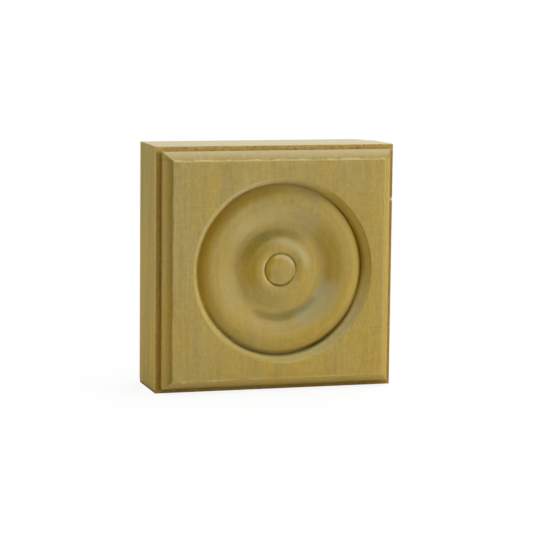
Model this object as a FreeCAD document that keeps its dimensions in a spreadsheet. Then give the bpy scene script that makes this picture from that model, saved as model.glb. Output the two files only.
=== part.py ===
"""Corner rosette block: a square wooden trim block with a stepped, rounded edge and a turned bullseye.

Millimetres. X points right, Z points up and the front face looks towards -Y. The origin is the centre
of the flat back face, which lies on Y = 0. The grain of the wood runs along Z.
"""
import FreeCAD, Part
import os
import Sketcher
from typing import NamedTuple

NODE = "rosette_block"

# Driving dimensions. Depths are measured back from the front face, radii from the rosette's own axis.
SIZES = {
    # the squared block
    "block_width": 82.55,
    "block_thickness": 28.575,
    # the edge moulding: a flat ledge, a square riser and a rounded shoulder up to the front face
    "ledge_width": 1.68,
    "ledge_depth": 5.44,
    "riser_height": 2.0,
    "shoulder_run": 2.95,
    "shoulder_swell": 0.4,
    # the turned recess and where its axis stands from the middle of the block
    "axis_right": 1.18,
    "axis_down": 0.48,
    "rim_radius": 31.25,
    "wall_run": 2.32,
    "quirk_depth": 4.7,
    # the broad ring: from the quirk under the wall in to its crest
    "ring_run": 5.23,
    "crest_depth": 2.2,
    # the valley: straight flanks that aim at one point below its round floor, placed at a share of the
    # crest's radius
    "valley_share": 0.633,
    "valley_depth": 6.35,
    "valley_round": 3.2,
    # the boss around the button
    "boss_radius": 7.4,
    "boss_depth": 2.95,
    "boss_round": 3.9,
    # the button and the fine V line around it
    "button_radius": 4.95,
    "button_depth": 3.2,
    "button_crown": 0.45,
    "line_width": 0.75,
    "line_depth": 0.45,
    # how far a cutting outline reaches past the faces that it cuts through
    "overcut": 2.0,
}

EDGE_COUNT = 4
FULL_TURN = 360

# The sketcher's numbers for its origin and upright axis, and for the places on an edge.
ORIGIN = -1
UPRIGHT = -2
START = 1
END = 2
CENTRE = 3

# Places along Y, as formulas on the sheet.
FRONT = "-Sizes.block_thickness"
AHEAD = f"{FRONT} - Sizes.overcut"


class Edge(NamedTuple):
    """One edge of an outline: its number in the sketch, and its first and last end on the way round."""

    number: int
    first: int
    last: int


class Outline:
    """A closed outline in one sketch. Its places and dimensions are formulas on the sheet."""

    def __init__(self, body, name, plane):
        """Put an empty sketch on one of the body's origin planes."""
        self.sketch = body.newObject("Sketcher::SketchObject", name)
        self.sketch.AttachmentSupport = [(origin_feature(body, plane), "")]
        self.sketch.MapMode = "FlatFace"
        self.edges = []

    def spot(self, place):
        """The point of the sketch's plane that a pair of formulas gives."""
        across, along = (float(self.sketch.evalExpression(formula)) for formula in place)
        return FreeCAD.Vector(across, along, 0)

    def line(self, here, there):
        """Draw a straight edge."""
        edge = Edge(self.sketch.addGeometry(Part.LineSegment(here, there)), START, END)
        self.edges.append(edge)
        return edge

    def arc(self, here, through, there):
        """Draw a round edge. The sketcher runs every arc anticlockwise, so its ends may be swapped."""
        number = self.sketch.addGeometry(Part.Arc(here, through, there))
        begin = self.sketch.getPoint(number, START)
        forward = begin.distanceToPoint(here) < begin.distanceToPoint(there)
        edge = Edge(number, START, END) if forward else Edge(number, END, START)
        self.edges.append(edge)
        return edge

    def add(self, kind, *places):
        """Add a geometric relation."""
        return self.sketch.addConstraint(Sketcher.Constraint(kind, *places))

    def close(self, smooth=()):
        """Join the edges into a ring. Those in smooth run on into the next edge without a corner."""
        for edge, following in zip(self.edges, self.edges[1:] + self.edges[:1]):
            kind = "Tangent" if edge in smooth else "Coincident"
            self.add(kind, edge.number, edge.last, following.number, following.first)

    def bind(self, name, formula, kind, *places):
        """Add a dimension that takes its value from the sheet."""
        index = self.add(kind, *places, float(self.sketch.evalExpression(formula)))
        self.sketch.renameConstraint(index, name)
        self.sketch.setExpression(f"Constraints.{name}", formula)

    def fix(self, name, number, end, place):
        """Hold one point of an edge at a place."""
        for kind, formula in zip(("DistanceX", "DistanceY"), place):
            self.bind(f"{name}_{kind}", formula, kind, ORIGIN, START, number, end)

    def mark(self, name, place):
        """Put a construction point at a place."""
        number = self.sketch.addGeometry(Part.Point(self.spot(place)), True)
        self.fix(name, number, START, place)
        return number


def bowed(here, there, swell):
    """The middle of an arc from here to there that swells to the right of the way."""
    way = there - here
    return here + way / 2 + FreeCAD.Vector(way.y, -way.x, 0).normalize() * swell


def falling(here, there):
    """About the middle of an arc that leaves here level and falls away to there."""
    way = there - here
    return here + FreeCAD.Vector(way.x / 2, way.y / 4, 0)


def quarters(here, there):
    """The places a quarter and three quarters of the way from here to there."""
    middle = (here + there) / 2
    return (here + middle) / 2, (middle + there) / 2


def make_sheet(doc):
    """Write the driving dimensions into a spreadsheet, one named cell each."""
    sheet = doc.addObject("Spreadsheet::Sheet", "Sizes")
    for row, (name, value) in enumerate(SIZES.items(), start=1):
        sheet.set(f"A{row}", name)
        sheet.set(f"B{row}", str(value))
        sheet.setAlias(f"B{row}", name)
    doc.recompute()


def origin_feature(body, role):
    """One of the body's own origin planes or axes, by its role."""
    return next(item for item in body.Origin.OriginFeatures if item.Role == role)


def squared_block(body):
    """The plain block, standing forward from its back face."""
    half = "Sizes.block_width / 2"
    corners = {
        "low_left": (f"-{half}", f"-{half}"),
        "low_right": (half, f"-{half}"),
        "high_right": (half, half),
        "high_left": (f"-{half}", half),
    }
    outline = Outline(body, "BlockOutline", "XZ_Plane")
    spots = [outline.spot(place) for place in corners.values()]
    for here, there in zip(spots, spots[1:] + spots[:1]):
        outline.line(here, there)
    outline.close()
    for edge, (name, place) in zip(outline.edges, corners.items()):
        outline.fix(name, edge.number, edge.first, place)

    block = body.newObject("PartDesign::Pad", "Block")
    block.Profile = outline.sketch
    block.setExpression("Length", "Sizes.block_thickness")
    return block


def moulded_edges(body):
    """Run one moulding cut along the top edge and repeat it on the other three, so the corners mitre."""
    ledge = f"{FRONT} + Sizes.ledge_depth"
    riser = f"{ledge} - Sizes.riser_height"
    foot = "Sizes.block_width / 2 - Sizes.ledge_width"
    arris = f"{foot} - Sizes.shoulder_run"
    outside = "Sizes.block_width / 2 + Sizes.overcut"
    corners = {
        "ledge_end": (ledge, outside),
        "riser_foot": (ledge, foot),
        "riser_top": (riser, foot),
        "arris": (FRONT, arris),
        "clear_of_face": (AHEAD, arris),
        "clear_of_edge": (AHEAD, outside),
    }
    outline = Outline(body, "EdgeOutline", "YZ_Plane")
    ledge_end, riser_foot, riser_top, front_arris, clear_of_face, clear_of_edge = (
        outline.spot(place) for place in corners.values()
    )
    swell = float(outline.sketch.evalExpression("Sizes.shoulder_swell"))
    outline.line(ledge_end, riser_foot)
    outline.line(riser_foot, riser_top)
    shoulder = outline.arc(riser_top, bowed(riser_top, front_arris, swell), front_arris)
    outline.line(front_arris, clear_of_face)
    outline.line(clear_of_face, clear_of_edge)
    outline.line(clear_of_edge, ledge_end)
    outline.close()
    for edge, (name, place) in zip(outline.edges, corners.items()):
        outline.fix(name, edge.number, edge.first, place)
    rise = "(Sizes.ledge_depth - Sizes.riser_height)"
    half_chord_squared = f"(Sizes.shoulder_run ^ 2 + {rise} ^ 2) / 4"
    radius = f"({half_chord_squared} + Sizes.shoulder_swell ^ 2) / (2 * Sizes.shoulder_swell)"
    outline.bind("shoulder_radius", radius, "Radius", shoulder.number)

    cut = body.newObject("PartDesign::Pocket", "EdgeCut")
    cut.Profile = outline.sketch
    cut.Type = "ThroughAll"
    cut.SideType = "Symmetric"
    edges = body.newObject("PartDesign::PolarPattern", "Edges")
    edges.Originals = [cut]
    edges.Axis = (origin_feature(body, "Y_Axis"), [""])
    edges.Angle = FULL_TURN
    edges.Occurrences = EDGE_COUNT
    body.Tip = edges
    return edges


def turned_rosette(body):
    """Turn the recess about its own axis: wall, quirk, broad ring, valley, boss and button."""
    quirk = "Sizes.rim_radius - Sizes.wall_run"
    crest = f"({quirk} - Sizes.ring_run)"
    line_edge = "Sizes.button_radius + Sizes.line_width"
    boss_depth = f"{FRONT} + Sizes.boss_depth"
    places = {
        "lid_middle": ("0", AHEAD),
        "button_top": ("0", f"{FRONT} + Sizes.button_depth - Sizes.button_crown"),
        "button_edge": ("Sizes.button_radius", f"{FRONT} + Sizes.button_depth"),
        "line_bottom": (
            "Sizes.button_radius + Sizes.line_width / 2",
            f"{FRONT} + Sizes.button_depth + Sizes.line_depth",
        ),
        "line_edge": (line_edge, boss_depth),
        "boss_top": ("Sizes.boss_radius", boss_depth),
        "boss_centre": ("Sizes.boss_radius", f"{boss_depth} + Sizes.boss_round"),
        "valley": (f"Sizes.valley_share * {crest}", f"{FRONT} + Sizes.valley_depth"),
        "ring_top": (crest, f"{FRONT} + Sizes.crest_depth"),
        "quirk": (quirk, f"{FRONT} + Sizes.quirk_depth"),
        "rim": ("Sizes.rim_radius", FRONT),
        "lid_edge": ("Sizes.rim_radius", AHEAD),
    }
    outline = Outline(body, "RosetteOutline", "XY_Plane")
    outline.sketch.setExpression("AttachmentOffset.Base.x", "Sizes.axis_right")
    outline.sketch.setExpression("AttachmentOffset.Base.z", "-Sizes.axis_down")
    at = {name: outline.spot(place) for name, place in places.items()}

    # The waves are drawn roughly, from crest to valley, and their tangency then settles them.
    boss_end, floor_begin = quarters(at["boss_top"], at["valley"])
    floor_end, ring_begin = quarters(at["valley"], at["ring_top"])
    axis = outline.line(at["lid_middle"], at["button_top"])
    button = outline.arc(
        at["button_top"], falling(at["button_top"], at["button_edge"]), at["button_edge"]
    )
    line_in = outline.line(at["button_edge"], at["line_bottom"])
    line_out = outline.line(at["line_bottom"], at["line_edge"])
    boss = outline.arc(at["line_edge"], at["boss_top"], boss_end)
    inner_flank = outline.line(boss_end, floor_begin)
    floor = outline.arc(floor_begin, at["valley"], floor_end)
    outer_flank = outline.line(floor_end, ring_begin)
    ring = outline.arc(ring_begin, at["ring_top"], at["quirk"])
    wall = outline.line(at["quirk"], at["rim"])
    lead = outline.line(at["rim"], at["lid_edge"])
    outline.line(at["lid_edge"], at["lid_middle"])
    outline.close(smooth=(boss, inner_flank, floor, outer_flank))

    for name, edge in (
        ("lid_middle", axis),
        ("button_top", button),
        ("button_edge", line_in),
        ("line_bottom", line_out),
        ("quirk", wall),
        ("rim", lead),
    ):
        outline.fix(name, edge.number, edge.first, places[name])
    outline.fix("lid_edge", lead.number, lead.last, places["lid_edge"])
    outline.add("PointOnObject", button.number, CENTRE, UPRIGHT)
    outline.bind("line_edge", line_edge, "DistanceX", ORIGIN, START, boss.number, boss.first)
    outline.fix("boss_centre", boss.number, CENTRE, places["boss_centre"])
    outline.bind("boss_round", "Sizes.boss_round", "Radius", boss.number)
    aim = outline.mark("valley", places["valley"])
    outline.add("PointOnObject", aim, START, inner_flank.number)
    outline.add("PointOnObject", aim, START, outer_flank.number)
    outline.bind("valley_round", "Sizes.valley_round", "Radius", floor.number)
    top = outline.mark("ring_top", places["ring_top"])
    outline.add("PointOnObject", top, START, ring.number)
    outline.add("Vertical", top, START, ring.number, CENTRE)

    rosette = body.newObject("PartDesign::Groove", "Rosette")
    rosette.Profile = outline.sketch
    rosette.ReferenceAxis = (outline.sketch, ["V_Axis"])
    rosette.Angle = FULL_TURN
    body.Tip = rosette
    return rosette


def check(doc, body, steps):
    """Stop unless every object built, every cut took wood away and the body is one valid solid."""
    for item in doc.Objects:
        if {"Invalid", "Error"} & set(item.State):
            raise RuntimeError(f"{item.Label} did not build: {item.State}")
    for before, after in zip(steps, steps[1:]):
        if after.Shape.Volume >= before.Shape.Volume:
            raise RuntimeError(f"{after.Label} cut nothing")
    if body.Shape.isNull() or not body.Shape.isValid() or len(body.Shape.Solids) != 1:
        raise RuntimeError(f"{body.Label} is not one valid solid")


def main():
    doc = FreeCAD.newDocument("CornerRosette")
    make_sheet(doc)
    body = doc.addObject("PartDesign::Body", "RosetteBlock")
    body.Label = NODE
    body.Placement = FreeCAD.Placement()
    steps = [squared_block(body), moulded_edges(body), turned_rosette(body)]
    doc.recompute()
    check(doc, body, steps)
    os.makedirs("parts", exist_ok=True)
    body.Shape.exportStep(f"parts/{body.Label}.step")
    print(body.Label, body.Shape.BoundBox, f"{body.Shape.Volume:.1f} mm3")


main()
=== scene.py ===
"""Looks of the corner rosette block: one turned and moulded block of pale wood on a white studio floor.

Metres, in the same frame as the solid: X points right, Z points up along the grain, and the turned face
looks towards -Y. Marks, tears, knocks and the soft steps near edges are written in millimetres, and turned
into metres where they are used.
"""

import logging
import math
from dataclasses import dataclass, field
from enum import Enum
from typing import Callable, Optional

import bmesh
import bpy
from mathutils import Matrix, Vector

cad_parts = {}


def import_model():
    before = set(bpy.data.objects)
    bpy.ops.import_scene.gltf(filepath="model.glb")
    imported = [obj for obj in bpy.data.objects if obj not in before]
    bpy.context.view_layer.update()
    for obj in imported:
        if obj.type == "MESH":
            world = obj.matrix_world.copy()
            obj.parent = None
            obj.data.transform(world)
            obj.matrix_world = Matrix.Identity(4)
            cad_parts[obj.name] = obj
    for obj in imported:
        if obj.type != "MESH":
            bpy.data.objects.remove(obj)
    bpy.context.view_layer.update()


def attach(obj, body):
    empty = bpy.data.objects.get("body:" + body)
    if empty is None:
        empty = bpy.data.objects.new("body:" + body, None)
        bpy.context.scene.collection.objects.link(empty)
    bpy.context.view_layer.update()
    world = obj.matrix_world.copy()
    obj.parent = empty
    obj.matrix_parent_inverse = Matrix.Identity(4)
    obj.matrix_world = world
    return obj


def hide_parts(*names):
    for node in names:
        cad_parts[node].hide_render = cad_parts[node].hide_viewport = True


NODE = "rosette_block"
BODY = "root"
MM = 0.001
NEAR = 0.01 * MM
DOUBLES = 0.001 * MM
TORN = "torn"
PATTERN_MEAN = 0.5
FIRST_COLOUR, SECOND_COLOUR, MIXED_COLOUR = 6, 7, 2
Socket = bpy.types.NodeSocket

log = logging.getLogger("rosette")


class Along(Enum):
    """The way that a torn patch of the surface is pushed."""

    DEPTH = "Y"
    UPRIGHT = "Z"


class Tint(Enum):
    """How a tone changes the wood under it."""

    DEEPEN = "MULTIPLY"
    COVER = "MIX"


class Step(Enum):
    """How a mask goes from one value to another."""

    EASED = "SMOOTHSTEP"
    STRAIGHT = "LINEAR"


def metres(sizes: tuple) -> tuple:
    """Sizes in millimetres, turned into metres."""
    return tuple(size * MM for size in sizes)


@dataclass(frozen=True)
class Spot:
    """A point on a section: how far out it lies, and how far behind the front face."""

    out: float
    depth: float

    def __add__(self, other: "Spot") -> "Spot":
        """Add two spots as vectors."""
        return Spot(self.out + other.out, self.depth + other.depth)

    def __sub__(self, other: "Spot") -> "Spot":
        """Subtract two spots as vectors."""
        return Spot(self.out - other.out, self.depth - other.depth)

    def __mul__(self, factor: float) -> "Spot":
        """Stretch the spot as a vector."""
        return Spot(self.out * factor, self.depth * factor)

    def length(self) -> float:
        """The spot's length as a vector."""
        return math.hypot(self.out, self.depth)


class Section:
    """A section line, walked point by point."""

    def __init__(self, start: Spot) -> None:
        """Start the line at its first point."""
        self.spots: list[Spot] = [start]

    def line_to(self, there: Spot, parts: int = 1) -> "Section":
        """Go straight on to a point.

        Args:
            there: Where the line ends.
            parts: How many pieces it is cut into.

        Returns:
            The section, so that calls can be chained.
        """
        here = self.spots[-1]
        self.spots += [here + (there - here) * (k / parts) for k in range(1, parts + 1)]
        return self

    def arc_to(self, there: Spot, centre: Spot, parts: int) -> "Section":
        """Go round a centre, the short way, to a point.

        Args:
            there: Where the arc ends.
            centre: Its centre.
            parts: How many pieces it is cut into.

        Returns:
            The section, so that calls can be chained.
        """
        here = self.spots[-1] - centre
        end = there - centre
        begin = math.atan2(here.depth, here.out)
        sweep = math.remainder(math.atan2(end.depth, end.out) - begin, math.tau)
        for k in range(1, parts + 1):
            angle = begin + sweep * k / parts
            reach = here.length() + (end.length() - here.length()) * k / parts
            self.spots.append(centre + Spot(math.cos(angle), math.sin(angle)) * reach)
        return self

    def eased_to(
        self, corner: Spot, beyond: Spot, ease: float, parts: int = 3, past: float = 1.0
    ) -> "Section":
        """Go straight towards a corner and round it off, ready to go on to the next point.

        Args:
            corner: The sharp corner.
            beyond: The point that the line heads for after the corner.
            ease: How far before the corner the rounding reaches.
            parts: How many pieces the rounding is cut into.
            past: How far it reaches after the corner, as a share of that.

        Returns:
            The section, so that calls can be chained.
        """
        before = self.spots[-1] - corner
        after = beyond - corner
        begin = corner + before * (ease / before.length())
        end = corner + after * (past * ease / after.length())
        self.line_to(begin)
        for k in range(1, parts + 1):
            t = k / parts
            self.spots.append(begin * (1 - t) ** 2 + corner * (2 * t * (1 - t)) + end * t ** 2)
        return self


def touching(aim: Spot, centre: Spot, radius: float, inner: bool) -> Spot:
    """The point where a straight flank from a point touches a round.

    Args:
        aim: The point that the flank starts from, behind the round's crown.
        centre: The round's centre.
        radius: Its radius.
        inner: True where the round lies nearer to the axis than the point.

    Returns:
        The point of touch on the front of the round.
    """
    way = centre - aim
    lean = math.atan2(way.depth, way.out)
    spread = math.asin(radius / way.length())
    angle = lean + spread if inner else lean - spread
    reach = math.sqrt(way.length() ** 2 - radius ** 2)
    return aim + Spot(math.cos(angle), math.sin(angle)) * reach


class LoopModeller:
    """Grows one closed mesh in edit mode, a loop of edges at a time."""

    def __init__(self, name: str, steps: int, centre: Vector, radius: float) -> None:
        """Add the disc that the mesh grows from, facing the front.

        Args:
            name: The object's name.
            steps: How many corners the disc has.
            centre: Its middle.
            radius: Its radius.
        """
        bpy.ops.object.select_all(action="DESELECT")
        bpy.ops.mesh.primitive_circle_add(
            vertices=steps,
            radius=radius,
            fill_type="TRIFAN",
            location=centre,
            rotation=(math.pi / 2, 0, 0),
        )
        self.piece: bpy.types.Object = bpy.context.object
        self.piece.name = name
        self.piece.data.name = name
        bpy.ops.object.transform_apply(location=True, rotation=True, scale=True)
        bpy.ops.object.mode_set(mode="EDIT")
        bpy.ops.mesh.select_mode(type="EDGE")
        bpy.ops.mesh.select_all(action="SELECT")
        bpy.ops.mesh.region_to_loop()
        self.middle = Vector(centre)
        self.reach = radius

    def grow(self, reach: float, y: float) -> None:
        """Extrude the selected loop to a new reach from the middle and a new depth.

        Args:
            reach: The new radius, or half width, of the loop.
            y: The new place of the loop along Y.
        """
        back = y - self.middle.y
        bpy.ops.mesh.extrude_edges_move(TRANSFORM_OT_translate={"value": (0, back, 0)})
        self.middle.y = y
        scale = reach / self.reach
        bpy.ops.transform.resize(value=(scale, 1, scale), center_override=self.middle)
        self.reach = reach

    def follow(self, section: Section, front: float) -> None:
        """Grow through all the further points of a section, behind the front face."""
        for spot in section.spots[1:]:
            self.grow(spot.out, front + spot.depth)

    def to_square(self, half: float, cuts: int) -> None:
        """Join the selected loop to a square loop around the block's own middle, in the same plane.

        Args:
            half: Half the square's width.
            cuts: How many cuts divide each of its sides.
        """
        y = self.middle.y
        rim = self.reach
        axis = self.middle.copy()

        def on_square(point: Vector) -> bool:
            """Whether a point lies on the square."""
            return abs(point.y - y) < NEAR and max(abs(point.x), abs(point.z)) > half - NEAR

        def on_rim(point: Vector) -> bool:
            """Whether a point lies on the loop, or in its plane outside it."""
            return abs(point.y - y) < NEAR and math.hypot(point.x - axis.x, point.z - axis.z) > rim - NEAR

        bpy.ops.mesh.select_all(action="DESELECT")
        bpy.ops.mesh.primitive_plane_add(
            size=2 * half, location=(0, y, 0), rotation=(math.pi / 2, 0, 0)
        )
        bpy.ops.mesh.delete(type="ONLY_FACE")
        self.pick(on_square)
        bpy.ops.mesh.subdivide(number_cuts=cuts)
        self.pick(lambda point: on_square(point) or on_rim(point))
        bpy.ops.mesh.fill(use_beauty=True)
        self.pick(on_square)
        self.middle = Vector((0, y, 0))
        self.reach = half

    def pick(self, wanted: Callable[[Vector], bool]) -> None:
        """Select just the open edges whose two ends are wanted.

        Args:
            wanted: Says of a point whether it is.
        """
        mesh = bmesh.from_edit_mesh(self.piece.data)
        chosen = {vert for vert in mesh.verts if wanted(vert.co)}
        for edge in mesh.edges:
            edge.select_set(False)
        for edge in mesh.edges:
            if len(edge.link_faces) < 2 and all(vert in chosen for vert in edge.verts):
                edge.select_set(True)
        mesh.select_flush_mode()
        bmesh.update_edit_mesh(self.piece.data)

    def close(self) -> bpy.types.Object:
        """Fill the last loop, tidy the mesh and leave edit mode.

        Returns:
            The finished piece.
        """
        bpy.ops.mesh.edge_face_add()
        bpy.ops.mesh.select_all(action="SELECT")
        bpy.ops.mesh.remove_doubles(threshold=DOUBLES)
        bpy.ops.mesh.normals_make_consistent(inside=False)
        bpy.ops.object.mode_set(mode="OBJECT")
        return self.piece


@dataclass(frozen=True)
class Tone:
    """A colour, and how it changes the wood that it is laid on."""

    red: float
    green: float
    blue: float
    tint: Tint = Tint.DEEPEN

    @property
    def colour(self) -> tuple:
        """The colour, opaque."""
        return self.red, self.green, self.blue, 1


@dataclass(frozen=True)
class Ramp:
    """A step from a first to a last value, between a begin and an end.

    Near an edge of the block, these two are millimetres past the edge. In a pattern they are its values.
    """

    begin: float
    end: float
    first: float = 0.0
    last: float = 1.0


@dataclass(frozen=True)
class Band:
    """A strip with soft sides: where it begins, is full, starts to fade and ends, in millimetres."""

    begin: float
    full: float
    fading: float
    end: float


class Sheet:
    """A material's node tree, with short ways to add what the finishes need."""

    def __init__(self, name: str) -> None:
        """Start a material with its principled shader.

        Args:
            name: The material's name.
        """
        self.material = bpy.data.materials.new(name)
        self.material.use_nodes = True
        self.tree = self.material.node_tree
        self.shader = self.tree.nodes["Principled BSDF"]
        place = self.tree.nodes.new("ShaderNodeTexCoord")
        self.here = place.outputs["Object"]
        self.normal = place.outputs["Normal"]

    def feed(self, socket: Socket, value: object) -> None:
        """Set an input, or link an output to it.

        Args:
            socket: The input.
            value: A plain value or an output socket.
        """
        if isinstance(value, Socket):
            self.tree.links.new(value, socket)
        else:
            socket.default_value = value

    def add(self, kind: str, output: int | str, inputs: dict, **settings: object) -> Socket:
        """Add a node.

        Args:
            kind: Its type, without the words that all shader nodes start with.
            output: The output that is wanted, by name or number.
            inputs: Plain values and output sockets, by the name or number of the input.
            settings: The node's own choices.

        Returns:
            The output.
        """
        node = self.tree.nodes.new("ShaderNode" + kind)
        for name, value in settings.items():
            setattr(node, name, value)
        for key, value in inputs.items():
            self.feed(node.inputs[key], value)
        return node.outputs[output]

    def math(self, operation: str, *values: object) -> Socket:
        """Work out one value from others."""
        return self.add("Math", 0, dict(enumerate(values)), operation=operation)

    def total(self, start: float, *terms: tuple) -> Socket:
        """Add up values, each times its own weight.

        Args:
            start: What the sum starts from.
            terms: Pairs of a value and its weight.

        Returns:
            The sum.
        """
        result: object = start
        for value, weight in terms:
            result = self.math("MULTIPLY_ADD", value, weight, result)
        return result

    def product(self, *values: object) -> Socket:
        """Multiply masks.

        Args:
            values: The masks.

        Returns:
            Their product.
        """
        result, *rest = values
        for value in rest:
            result = self.math("MULTIPLY", result, value)
        return result

    def hypotenuse(self, first: Socket, second: Socket) -> Socket:
        """The length of two parts that stand square to each other."""
        return self.math("SQRT", self.total(0.0, (first, first), (second, second)))

    def split(self, vector: Socket) -> tuple:
        """The three parts of a vector."""
        return tuple(self.add("SeparateXYZ", 0, {0: vector}).node.outputs)

    def joined(self, *parts: object) -> Socket:
        """A vector made of three parts."""
        return self.add("CombineXYZ", 0, dict(enumerate(parts)))

    def offset(self, middle: tuple) -> Socket:
        """Object coordinates measured from a point."""
        return self.add("VectorMath", 0, {0: self.here, 1: middle}, operation="SUBTRACT")

    def reach(self, vector: Socket, half: tuple) -> Socket:
        """A vector's length in terms of three half sizes, 1 on the egg that they span."""
        share = self.add("VectorMath", 0, {0: vector, 1: half}, operation="DIVIDE")
        return self.add("VectorMath", "Value", {0: share}, operation="LENGTH")

    def stretched(self, scale: tuple, lean: tuple) -> Socket:
        """Object coordinates, scaled along each axis and turned about it by degrees."""
        turn = [math.radians(angle) for angle in lean]
        return self.add("Mapping", "Vector", {"Vector": self.here, "Scale": scale, "Rotation": turn})

    def noise(self, vector: Socket, scale: float, detail: float) -> Socket:
        """A noise pattern of some layers."""
        return self.add("TexNoise", "Fac", {"Vector": vector, "Scale": scale, "Detail": detail})

    def swing(self, pattern: Socket) -> Socket:
        """How far a pattern lies above or below its mean."""
        return self.total(-PATTERN_MEAN, (pattern, 1.0))

    def span(
        self, value: Socket, low: float, high: float, first: float, last: float, step: Step = Step.EASED
    ) -> Socket:
        """Map a range of a value to another range and hold it there.

        Args:
            value: The value.
            low: Where the range begins.
            high: Where it ends.
            first: What the beginning becomes.
            last: What the end becomes.
            step: The way between the two.

        Returns:
            The mapped value.
        """
        inputs = dict(enumerate((value, low, high, first, last)))
        return self.add("MapRange", "Result", inputs, interpolation_type=step.value)

    def sift(self, pattern: Socket, ramp: Ramp) -> Socket:
        """A mask of a pattern by its values."""
        return self.span(pattern, ramp.begin, ramp.end, ramp.first, ramp.last)

    def near(self, value: Socket, edge: float, ramp: Ramp) -> Socket:
        """A mask that changes over a ramp near an edge of the block."""
        return self.span(value, edge + ramp.begin * MM, edge + ramp.end * MM, ramp.first, ramp.last)

    def strip(self, value: Socket, edge: float, band: Band) -> Socket:
        """A mask of a band along an edge of the block."""
        opened = self.near(value, edge, Ramp(band.begin, band.full))
        return self.product(opened, self.near(value, edge, Ramp(band.fading, band.end, 1.0, 0.0)))

    def blend(self, amount: object, under: object, tone: Tone) -> Socket:
        """Lay a tone over a colour, as much as the amount says."""
        inputs = {"Factor": amount, FIRST_COLOUR: under, SECOND_COLOUR: tone.colour}
        return self.add("Mix", MIXED_COLOUR, inputs, data_type="RGBA", blend_type=tone.tint.value)

    def toned(self, colour: Socket, factor: Socket) -> Socket:
        """A colour made lighter or darker by a factor of about 1."""
        return self.add("VectorMath", 0, {0: colour, "Scale": factor}, operation="SCALE")

    def bump(self, height: Socket, strength: float, distance: float) -> Socket:
        """The normals of a surface out of which a height of 1 stands by the distance."""
        return self.add("Bump", "Normal", {"Strength": strength, "Distance": distance, "Height": height})

    def own(self, name: str) -> Socket:
        """A value that the piece's mesh carries, by its name."""
        return self.add("Attribute", "Fac", {}, attribute_name=name)


@dataclass(frozen=True)
class Grain:
    """A pattern in the wood: how fine it is, its scale and lean along the three axes, and its layers."""

    fineness: float
    scale: tuple = (1, 1, 1)
    lean: tuple = (0, 0, 0)
    detail: float = 2

    def pattern(self, sheet: Sheet) -> Socket:
        """The pattern's value, 0.5 in the mean."""
        return sheet.noise(sheet.stretched(self.scale, self.lean), self.fineness, self.detail)


FIBRES = Grain(1000, (1, 1, 0.06), (0, 0.8, 0))
HAIRS = Grain(2300, (1, 1, 0.2), (0, 1.5, 0))
LINT = Grain(1700)
PATCHES = Grain(420, (1, 1, 0.5))
STRANDS = Grain(2300, (1, 1, 0.4))
PATCHY = Ramp(0.2, 0.6, 0.6, 1.0)
STRANDED = Ramp(0.3, 0.7, 0.55, 1.2)
FRAYING = 1.2 * MM
FACE_BACK = Ramp(0.0, 1.0, 1.0, 0.0)


class Coat:
    """The wood's colour while it is laid on, with the places and patterns that its layers go by.

    The places are object coordinates, the distances up or down and outward from the block's own middle, the
    distances to the right of the rosette's axis, above it and from it, and a mask of the carved face.
    """

    def __init__(self, sheet: Sheet, block: "RosetteBlock") -> None:
        """Set out the places and the patterns.

        Args:
            sheet: The material's node tree.
            block: The block that is dressed.
        """
        self.sheet = sheet
        self.block = block
        self.colour: object = None
        self.across, self.back, self.up = sheet.split(sheet.here)
        self.aloft = sheet.math("ABSOLUTE", self.up)
        self.outward = sheet.math("MAXIMUM", sheet.math("ABSOLUTE", self.across), self.aloft)
        self.right, depth, self.above = sheet.split(sheet.offset(block.axis))
        self.radius = sheet.hypotenuse(self.right, self.above)
        self.face = sheet.near(depth, block.valley_depth, FACE_BACK)
        self.fibres = FIBRES.pattern(sheet)
        self.hairs = HAIRS.pattern(sheet)
        self.lint = sheet.swing(LINT.pattern(sheet))
        patchy = sheet.sift(PATCHES.pattern(sheet), PATCHY)
        self.ragged = sheet.product(patchy, sheet.sift(STRANDS.pattern(sheet), STRANDED))
        self.frayed = sheet.math("MULTIPLY_ADD", self.lint, FRAYING, self.radius)

    def lay(self, mask: Socket, tone: Tone) -> None:
        """Lay a tone over the wood where a mask lets it through."""
        self.colour = self.sheet.blend(mask, self.colour, tone)

    def shade(self, factor: Socket) -> None:
        """Make the wood lighter or darker by a factor."""
        self.colour = self.sheet.toned(self.colour, factor)


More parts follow.
